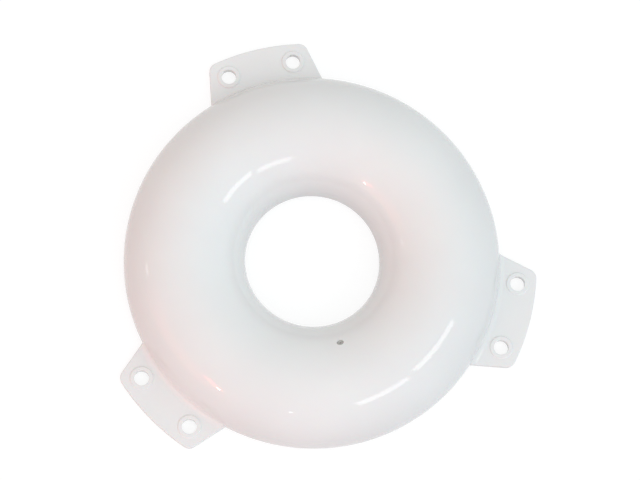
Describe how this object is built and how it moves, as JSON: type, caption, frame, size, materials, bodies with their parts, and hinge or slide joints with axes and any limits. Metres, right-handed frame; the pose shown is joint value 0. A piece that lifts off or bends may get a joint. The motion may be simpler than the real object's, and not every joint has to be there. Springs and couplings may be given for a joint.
{
  "type": "ring fender",
  "caption": "Round half-section ring fender in soft white plastic, with flat fixing lugs round its edge that screw it to a wall, a post or a pontoon.",
  "frame": {"origin": "on the ring's axis, at the flat back, which is also the centre of the circle of screw holes", "axes": "+Z along the ring's axis towards the rounded front, +Y through the middle of one lug, +X to the right of that lug seen from the front"},
  "size_m": [0.3188, 0.308, 0.047],
  "materials": {
    "ring_plastic": "glossy white soft PVC, smooth from the mould",
    "valve_rubber": "matt grey rubber"
  },
  "bodies": {
    "root": {"ring_body": "ring_plastic", "air_valve": "valve_rubber"}
  },
  "joints": []
}
